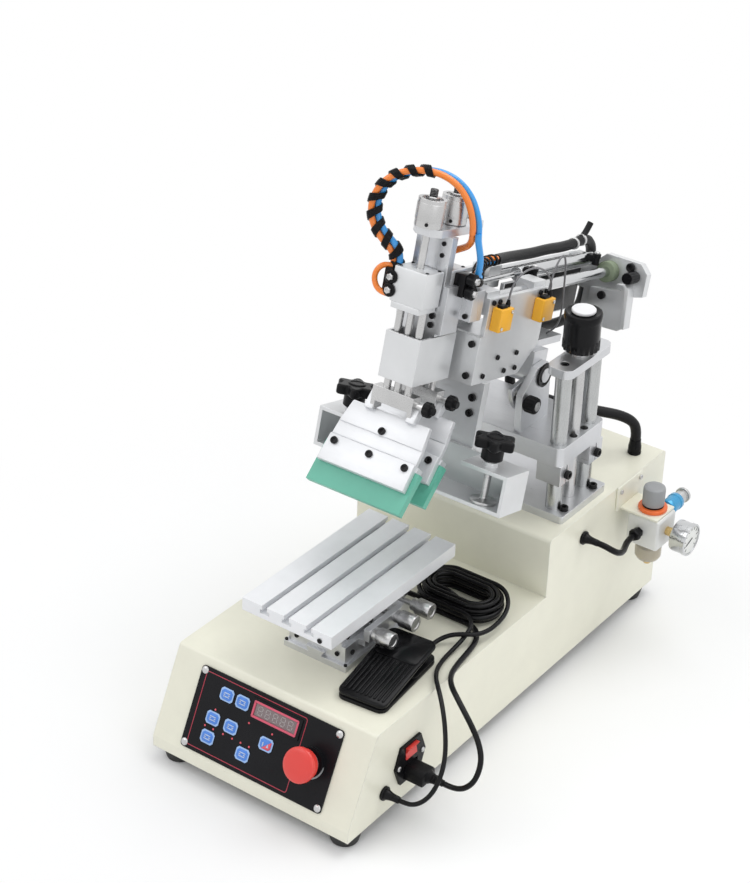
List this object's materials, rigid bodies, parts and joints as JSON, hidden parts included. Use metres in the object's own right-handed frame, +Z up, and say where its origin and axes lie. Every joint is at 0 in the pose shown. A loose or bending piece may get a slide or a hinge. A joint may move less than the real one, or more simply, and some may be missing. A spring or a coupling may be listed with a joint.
{
  "type": "bench top screen printing press",
  "caption": "Bench top screen press: cased base with T-slot table, screw lifted column, tilting arm and a sliding head with squeegee and flood bar.",
  "frame": {"origin": "middle of the outline of the press without its free cords, at the level it stands on", "axes": "+X to the operator's right, +Y to the back, +Z up"},
  "size_m": [0.339, 0.6519, 0.5949],
  "materials": {
    "paint": "satin cream powder coat",
    "rubber": "matt black rubber",
    "panel_film": "black membrane film with coloured keys",
    "black_plastic": "black moulded plastic",
    "cord_jacket": "black PVC jacket",
    "machined_aluminium": "milled and anodised",
    "bright_steel": "ground bright steel",
    "steel": "turned steel",
    "air_body": "cast pale body with clear bowl",
    "hose_black": "sleeved air hose",
    "zinc_steel": "zinc plated",
    "red_plastic": "red moulded plastic",
    "grey_plastic": "grey moulded plastic",
    "blue_plastic": "blue anodised sleeve",
    "orange_plastic": "orange sensor body",
    "blade_rubber": "green polyurethane"
  },
  "bodies": {
    "base": {"casing": "paint", "base_pan": "paint", "rubber_feet": "rubber", "control_panel": "panel_film", "power_inlet": "black_plastic", "cord_glands": "black_plastic", "mains_plug": "black_plastic", "mains_cord": "cord_jacket", "mains_hank": "cord_jacket", "wall_plug": "black_plastic", "pedal_cord": "cord_jacket", "pedal_hank": "cord_jacket", "pedal_base": "black_plastic", "stage_base": "machined_aluminium", "column_base_plate": "machined_aluminium", "guide_posts": "bright_steel", "column_top_plates": "machined_aluminium", "air_regulator": "air_body", "pressure_gauge": "bright_steel", "air_hose": "hose_black", "control_gear": "zinc_steel"},
    "estop": {"estop_button": "red_plastic"},
    "rocker": {"rocker_switch": "red_plastic"},
    "treadle": {"pedal_treadle": "black_plastic"},
    "pressure_knob": {"regulator_knob": "grey_plastic"},
    "valve_sleeve": {"slide_valve": "blue_plastic"},
    "stage_y": {"stage_y_slide": "machined_aluminium"},
    "stage_x": {"stage_x_slide": "machined_aluminium"},
    "table": {"work_table": "machined_aluminium"},
    "y_drive": {"y_knob": "steel"},
    "x_drive": {"x_knob": "steel"},
    "theta_drive": {"theta_knob": "steel"},
    "lift": {"lift_slab": "machined_aluminium", "pivot_lugs": "machined_aluminium", "slab_hose": "hose_black"},
    "height_drive": {"height_screw": "steel", "height_knob": "black_plastic"},
    "tilt_lock": {"tilt_lock_knob": "black_plastic"},
    "arm": {"arm_side_plates": "machined_aluminium", "arm_base_plate": "machined_aluminium", "piston_rod": "bright_steel", "frame_carrier": "machined_aluminium", "stroke_sensors": "orange_plastic", "arm_hose": "hose_black"},
    "clamp_left": {"frame_clamp_left": "black_plastic"},
    "clamp_right": {"frame_clamp_right": "black_plastic"},
    "carriage": {"guide_rods": "bright_steel", "stroke_cylinder": "machined_aluminium", "carriage_block": "machined_aluminium", "end_plate": "machined_aluminium", "head_top_plate": "machined_aluminium", "head_box": "machined_aluminium", "head_cylinders": "machined_aluminium", "air_tubes": "hose_black"},
    "squeegee": {"squeegee_rods": "bright_steel", "squeegee_holder": "machined_aluminium", "squeegee_blade": "blade_rubber"},
    "flood": {"flood_rods": "bright_steel", "flood_holder": "machined_aluminium", "flood_blade": "blade_rubber"}
  },
  "joints": [
    {"name": "lift_slide", "type": "slide", "parent": "base", "child": "lift", "axis": [0, 0, 1], "range_m": [-0.025, 0.06]},
    {"name": "height_knob_turn", "type": "hinge", "parent": "base", "child": "height_drive", "pos_m": [0.0555, 0.11443, 0.378], "axis": [0, 0, 1], "range_deg": [-2260, 5410]},
    {"name": "arm_tilt", "type": "hinge", "parent": "lift", "child": "arm", "pos_m": [-0.0425, 0.11443, 0.338], "axis": [1, 0, 0], "range_deg": [0, 14]},
    {"name": "head_stroke", "type": "slide", "parent": "arm", "child": "carriage", "axis": [0, -0.9703, 0.2419], "range_m": [0, 0.1]},
    {"name": "squeegee_lift", "type": "slide", "parent": "carriage", "child": "squeegee", "axis": [0, 0.2419, 0.9703], "range_m": [0, 0.01]},
    {"name": "flood_lift", "type": "slide", "parent": "carriage", "child": "flood", "axis": [0, 0.2419, 0.9703], "range_m": [0, 0.01]},
    {"name": "clamp_left_screw", "type": "slide", "parent": "arm", "child": "clamp_left", "axis": [0, 0.2419, 0.9703], "range_m": [0, 0.03]},
    {"name": "clamp_right_screw", "type": "slide", "parent": "arm", "child": "clamp_right", "axis": [0, 0.2419, 0.9703], "range_m": [0, 0.03]},
    {"name": "stage_y_travel", "type": "slide", "parent": "base", "child": "stage_y", "axis": [0, 1, 0], "range_m": [-0.01, 0.01]},
    {"name": "y_knob_turn", "type": "hinge", "parent": "stage_y", "child": "y_drive", "pos_m": [0.0175, -0.17407, 0.1565], "axis": [1, 0, 0], "range_deg": [-1810, 1810]},
    {"name": "stage_x_travel", "type": "slide", "parent": "stage_y", "child": "stage_x", "axis": [1, 0, 0], "range_m": [-0.009, 0.009]},
    {"name": "x_knob_turn", "type": "hinge", "parent": "stage_y", "child": "x_drive", "pos_m": [0.0175, -0.13457, 0.1565], "axis": [1, 0, 0], "range_deg": [-1630, 1630]},
    {"name": "table_turn", "type": "hinge", "parent": "stage_x", "child": "table", "pos_m": [-0.0425, -0.15007, 0.1655], "axis": [0, 0, 1], "range_deg": [-5, 5]},
    {"name": "theta_knob_turn", "type": "hinge", "parent": "stage_x", "child": "theta_drive", "pos_m": [0.0175, -0.10607, 0.1565], "axis": [1, 0, 0], "range_deg": [-181, 181]},
    {"name": "tilt_lock_turn", "type": "hinge", "parent": "lift", "child": "tilt_lock", "pos_m": [0.0175, 0.08141, 0.318], "axis": [1, 0, 0], "range_deg": [-180, 180]},
    {"name": "estop_press", "type": "slide", "parent": "base", "child": "estop", "axis": [0, 0.8992, -0.4376], "range_m": [0, 0.005], "stiffness_N_per_m": 600, "springref_m": -0.003},
    {"name": "rocker_tilt", "type": "hinge", "parent": "base", "child": "rocker", "pos_m": [0.0845, -0.21757, 0.073], "axis": [0, 1, 0], "range_deg": [-8, 0]},
    {"name": "treadle_press", "type": "hinge", "parent": "base", "child": "treadle", "pos_m": [0.04098, -0.23936, 0.1305], "axis": [0.9956, 0.0934, 0], "range_deg": [-6, 0], "stiffness_Nm_per_rad": 1.2, "springref_deg": 5.73},
    {"name": "regulator_turn", "type": "hinge", "parent": "base", "child": "pressure_knob", "pos_m": [0.1175, 0.19843, 0.176], "axis": [0, 0, 1], "range_deg": [-540, 540]},
    {"name": "valve_slide", "type": "slide", "parent": "base", "child": "valve_sleeve", "axis": [0, 1, 0], "range_m": [0, 0.01]}
  ],
  "couplings": [
    {"joint": "height_knob_turn", "follows": "lift_slide", "rad_per_m": 1570.8},
    {"joint": "y_knob_turn", "follows": "stage_y_travel", "rad_per_m": 3141.6},
    {"joint": "x_knob_turn", "follows": "stage_x_travel", "rad_per_m": 3141.6},
    {"joint": "theta_knob_turn", "follows": "table_turn", "ratio": 36}
  ]
}
